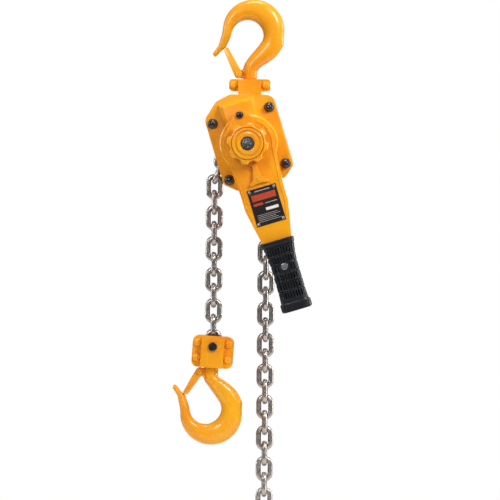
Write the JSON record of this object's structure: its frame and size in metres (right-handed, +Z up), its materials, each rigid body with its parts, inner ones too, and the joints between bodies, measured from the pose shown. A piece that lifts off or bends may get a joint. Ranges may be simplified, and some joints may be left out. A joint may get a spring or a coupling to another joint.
{
  "type": "lever chain hoist",
  "caption": "Ratchet lever chain hoist hanging from a swivel latch hook, with screw brake, geared sheave, free wheel knob, rubber grip lever, load chain and lower hook.",
  "frame": {"origin": "load point inside the bowl of the top hook, on the swivel axis, in the chain's middle plane", "axes": "+Z up along the line of the load, -Y towards the knob's face, +X to the side of the free chain"},
  "size_m": [0.2171, 0.151, 0.8757],
  "materials": {
    "paint": "glossy yellow-orange enamel",
    "chain": "bright nickel plate, slightly warm",
    "black_hardware": "glossy black",
    "steel": "machined steel",
    "friction_lining": "matte lining",
    "nameplate": "black anodised plate with plain bars",
    "rubber": "ribbed matte rubber"
  },
  "bodies": {
    "top_hook": {"top_hook": "paint", "top_latch_pin": "paint", "top_latch_spring": "steel"},
    "top_latch": {"top_latch": "paint"},
    "top_yoke": {"top_yoke_front": "paint", "top_yoke_back": "paint", "top_yoke_rivets": "paint"},
    "frame": {"top_pin": "steel", "side_plate_front": "paint", "side_plate_back": "paint", "brake_cover": "paint", "gear_case": "paint", "stay_bolts": "steel", "front_dome_nuts": "black_hardware", "back_dome_nuts": "black_hardware", "hook_side_guide": "steel", "tail_side_guide": "steel", "chain_stripper": "steel", "sheave_bearing_front": "steel", "sheave_bearing_back": "steel", "pawl_pins": "steel"},
    "sheave": {"load_sheave": "steel", "load_gear": "steel", "chain_on_sheave": "chain"},
    "gear_a": {"intermediate_gear_a": "steel"},
    "gear_b": {"intermediate_gear_b": "steel"},
    "drive": {"drive_shaft": "steel", "friction_hub": "steel", "friction_disc_inner": "friction_lining", "friction_disc_outer": "friction_lining", "drive_nut": "steel", "shaft_nut": "steel", "free_spring": "steel"},
    "ratchet": {"ratchet_disc": "steel"},
    "pawl_a": {"pawl_a": "steel"},
    "pawl_b": {"pawl_b": "steel"},
    "lever": {"lever_case_front": "paint", "lever_case_back": "paint", "lever_bolts": "black_hardware", "name_plate": "nameplate", "name_plate_rivets": "steel", "grip": "rubber", "grip_screw": "steel"},
    "selector": {"selector_knob": "paint", "shift_pawl": "steel"},
    "knob": {"free_wheel_knob": "paint"},
    "lead": {"chain_lead_links": "chain"},
    "hook_strand": {"hook_strand": "chain"},
    "tail_strand": {"tail_strand": "chain", "tail_ring": "chain"},
    "bottom_yoke": {"bottom_yoke_front": "paint", "bottom_yoke_back": "paint", "bottom_yoke_rivets": "paint", "chain_pin": "black_hardware"},
    "bottom_hook": {"bottom_hook": "paint", "bottom_latch_pin": "paint", "bottom_latch_spring": "steel"},
    "bottom_latch": {"bottom_latch": "paint"}
  },
  "joints": [
    {"name": "top_hook_swivel", "type": "hinge", "parent": "top_hook", "child": "top_yoke", "pos_m": [0, 0, -0.1], "axis": [0, 0, 1], "continuous": true},
    {"name": "top_latch_hinge", "type": "hinge", "parent": "top_hook", "child": "top_latch", "pos_m": [-0.018, 0, -0.0836], "axis": [0, 1, 0], "range_deg": [0, 30], "stiffness_Nm_per_rad": 0.05, "springref_deg": -28.65},
    {"name": "body_hang", "type": "hinge", "parent": "top_yoke", "child": "frame", "pos_m": [0, 0, -0.129], "axis": [0, 1, 0], "range_deg": [-20, 20]},
    {"name": "sheave_turn", "type": "hinge", "parent": "frame", "child": "sheave", "pos_m": [0.00032, 0, -0.19069], "axis": [0, 1, 0], "range_deg": [0, 22.5]},
    {"name": "gear_a_turn", "type": "hinge", "parent": "frame", "child": "gear_a", "pos_m": [-0.00976, 0, -0.1577], "axis": [0, 1, 0], "range_deg": [-64, 0]},
    {"name": "gear_b_turn", "type": "hinge", "parent": "frame", "child": "gear_b", "pos_m": [0.01041, 0, -0.22369], "axis": [0, 1, 0], "range_deg": [-64, 0]},
    {"name": "drive_turn", "type": "hinge", "parent": "frame", "child": "drive", "pos_m": [0.00032, 0, -0.19069], "axis": [0, 1, 0], "range_deg": [0, 181]},
    {"name": "ratchet_turn", "type": "hinge", "parent": "frame", "child": "ratchet", "pos_m": [0.00032, 0, -0.19069], "axis": [0, 1, 0], "range_deg": [0, 24]},
    {"name": "pawl_a_lift", "type": "hinge", "parent": "frame", "child": "pawl_a", "pos_m": [-0.02768, 0, -0.14697], "axis": [0, 1, 0], "range_deg": [-10, 0]},
    {"name": "pawl_b_lift", "type": "hinge", "parent": "frame", "child": "pawl_b", "pos_m": [0.02833, 0, -0.23442], "axis": [0, 1, 0], "range_deg": [-10, 0]},
    {"name": "lever_swing", "type": "hinge", "parent": "frame", "child": "lever", "pos_m": [0.00032, 0, -0.19069], "axis": [0, 1, 0], "continuous": true},
    {"name": "selector_turn", "type": "hinge", "parent": "lever", "child": "selector", "pos_m": [0.01494, 0, -0.23851], "axis": [0, 1, 0], "range_deg": [-11, 11]},
    {"name": "knob_pull", "type": "slide", "parent": "drive", "child": "knob", "axis": [0, -1, 0], "range_m": [0, 0.006], "stiffness_N_per_m": 300, "springref_m": -0.01},
    {"name": "lead_swing", "type": "hinge", "parent": "sheave", "child": "lead", "pos_m": [-0.02652, 0, -0.17357], "axis": [0, 1, 0], "range_deg": [-16.5, 0]},
    {"name": "hook_strand_swing", "type": "hinge", "parent": "lead", "child": "hook_strand", "pos_m": [-0.05357, 0, -0.25124], "axis": [0, 1, 0], "range_deg": [-7, 0]},
    {"name": "tail_strand_swing", "type": "hinge", "parent": "sheave", "child": "tail_strand", "pos_m": [0.02717, 0, -0.17357], "axis": [0, 1, 0], "range_deg": [-23, 0]},
    {"name": "bottom_yoke_swing", "type": "hinge", "parent": "hook_strand", "child": "bottom_yoke", "pos_m": [-0.05357, 0, -0.50549], "axis": [0, 1, 0], "range_deg": [-12, 14]},
    {"name": "bottom_hook_swivel", "type": "hinge", "parent": "bottom_yoke", "child": "bottom_hook", "pos_m": [-0.05497, 0, -0.52544], "axis": [0.0698, 0, 0.9976], "continuous": true},
    {"name": "bottom_latch_hinge", "type": "hinge", "parent": "bottom_hook", "child": "bottom_latch", "pos_m": [-0.07435, 0, -0.54454], "axis": [0, -1, 0], "range_deg": [0, 30], "stiffness_Nm_per_rad": 0.05, "springref_deg": -28.65}
  ],
  "couplings": [
    {"joint": "gear_a_turn", "follows": "sheave_turn", "ratio": -2.8333},
    {"joint": "gear_b_turn", "follows": "sheave_turn", "ratio": -2.8333},
    {"joint": "drive_turn", "follows": "sheave_turn", "ratio": 8.0278},
    {"joint": "lead_swing", "follows": "sheave_turn", "ratio": -0.7119},
    {"joint": "hook_strand_swing", "follows": "sheave_turn", "ratio": -0.2881},
    {"joint": "tail_strand_swing", "follows": "sheave_turn", "ratio": -1},
    {"joint": "pawl_a_lift", "follows": "ratchet_turn", "ratio": -0.4},
    {"joint": "pawl_b_lift", "follows": "ratchet_turn", "ratio": -0.4}
  ]
}
